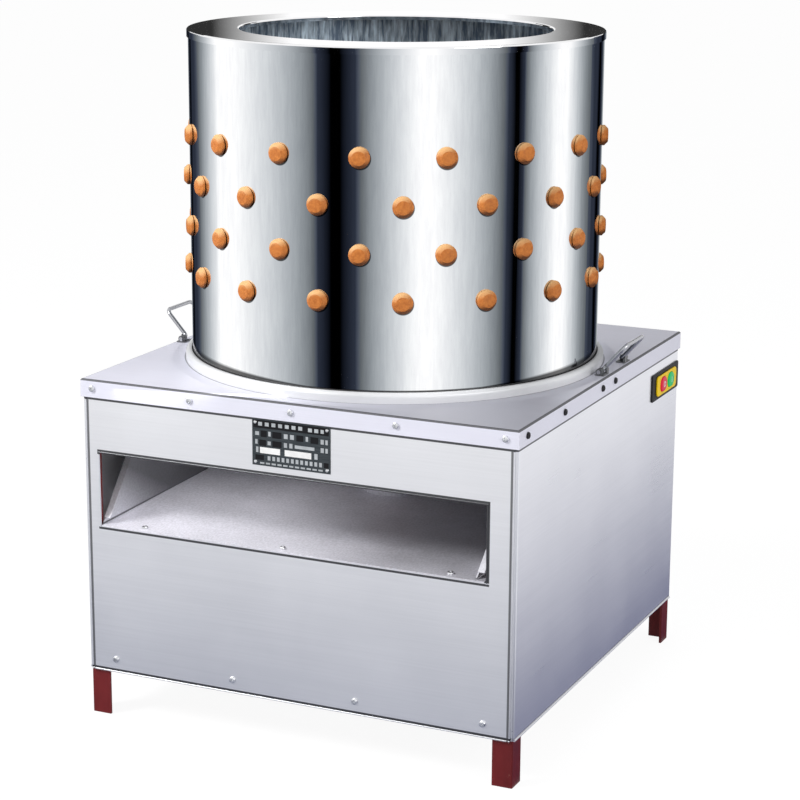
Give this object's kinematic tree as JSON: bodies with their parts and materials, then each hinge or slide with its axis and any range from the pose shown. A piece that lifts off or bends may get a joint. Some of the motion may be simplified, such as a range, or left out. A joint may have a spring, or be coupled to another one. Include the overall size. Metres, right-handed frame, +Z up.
{
  "type": "poultry plucker",
  "caption": "Drum plucker: stainless tub lined with ribbed rubber fingers over a belt-driven finger turntable, on a sheet-steel cabinet with a feather chute, on angle-iron legs.",
  "frame": {"origin": "on the floor, below the axis of the drum and turntable", "axes": "+Z up, +X to the right along the front, +Y to the back"},
  "size_m": [0.6016, 0.5781, 0.823],
  "materials": {
    "red_oxide_steel": "red-oxide primer",
    "satin_stainless": "satin",
    "polished_stainless": "mirror polished",
    "zinc_steel": "bright zinc",
    "black_steel": "black",
    "bearing_steel": "ground",
    "core_iron": "as cast",
    "motor_aluminium": "painted grey",
    "capacitor_can": "drawn",
    "orange_rubber": "matt",
    "black_rubber": "matt",
    "black_plastic": "moulded",
    "yellow_plastic": "moulded",
    "green_plastic": "moulded",
    "red_plastic": "moulded",
    "etched_plate": "etched"
  },
  "bodies": {
    "cabinet": {"front_left_leg": "red_oxide_steel", "front_right_leg": "red_oxide_steel", "rear_left_leg": "red_oxide_steel", "rear_right_leg": "red_oxide_steel", "top_rails": "red_oxide_steel", "bottom_rails": "red_oxide_steel", "cross_beams": "red_oxide_steel", "front_panel": "satin_stainless", "rear_panel": "satin_stainless", "left_panel": "satin_stainless", "right_panel": "satin_stainless", "deck": "satin_stainless", "deck_screws": "zinc_steel", "side_screws": "black_steel", "panel_screws": "zinc_steel", "chute_floor": "satin_stainless", "chute_left_wall": "satin_stainless", "chute_right_wall": "satin_stainless", "chute_screws": "zinc_steel", "drum_shell": "polished_stainless", "drum_rim": "polished_stainless", "drum_foot_ring": "polished_stainless", "drum_bolts": "zinc_steel", "wall_fingers": "orange_rubber", "bearing_tube": "red_oxide_steel", "bearing_outer_rings": "bearing_steel", "bearing_balls": "bearing_steel", "beam_bolts": "zinc_steel", "motor_plate": "red_oxide_steel", "motor_end_shield": "motor_aluminium", "motor_housing": "motor_aluminium", "motor_stator": "core_iron", "motor_fan_cover": "black_steel", "motor_bolts": "zinc_steel", "terminal_box": "black_plastic", "run_capacitor": "capacitor_can", "motor_lead": "black_rubber", "v_belt": "black_rubber", "switch_box": "black_plastic", "switch_plate": "black_plastic", "switch_bezel": "yellow_plastic", "cable_gland": "black_plastic", "rating_plate": "etched_plate", "rating_plate_rivets": "zinc_steel", "handle_clips": "black_steel"},
    "turntable": {"main_shaft": "bearing_steel", "bearing_inner_rings": "bearing_steel", "shaft_seal": "black_rubber", "turntable_hub": "core_iron", "turntable_disc": "polished_stainless", "hub_fasteners": "zinc_steel", "disc_fingers": "orange_rubber", "driven_pulley": "core_iron"},
    "motor_shaft": {"motor_rotor": "bearing_steel", "motor_fan": "black_plastic", "drive_pulley": "core_iron"},
    "start_button": {"start_button": "green_plastic"},
    "stop_button": {"stop_button": "red_plastic"},
    "left_handle": {"left_handle": "zinc_steel"},
    "right_handle": {"right_handle": "zinc_steel"}
  },
  "joints": [
    {"name": "turntable_spin", "type": "hinge", "parent": "cabinet", "child": "turntable", "pos_m": [0, 0, 0.25], "axis": [0, 0, 1], "continuous": true},
    {"name": "motor_spin", "type": "hinge", "parent": "cabinet", "child": "motor_shaft", "pos_m": [0, 0.1895, 0.2], "axis": [0, 0, 1], "continuous": true},
    {"name": "start_press", "type": "slide", "parent": "cabinet", "child": "start_button", "axis": [-1, 0, 0], "range_m": [0, 0.0035], "stiffness_N_per_m": 600},
    {"name": "stop_press", "type": "slide", "parent": "cabinet", "child": "stop_button", "axis": [-1, 0, 0], "range_m": [0, 0.0035], "stiffness_N_per_m": 600},
    {"name": "left_handle_swing", "type": "hinge", "parent": "cabinet", "child": "left_handle", "pos_m": [-0.2695, -0.015, 0.4257], "axis": [0, 1, 0], "range_deg": [0, 50]},
    {"name": "right_handle_swing", "type": "hinge", "parent": "cabinet", "child": "right_handle", "pos_m": [0.2695, 0.045, 0.4257], "axis": [0, -1, 0], "range_deg": [0, 50]}
  ],
  "couplings": [
    {"joint": "motor_spin", "follows": "turntable_spin", "ratio": 4.7273}
  ]
}
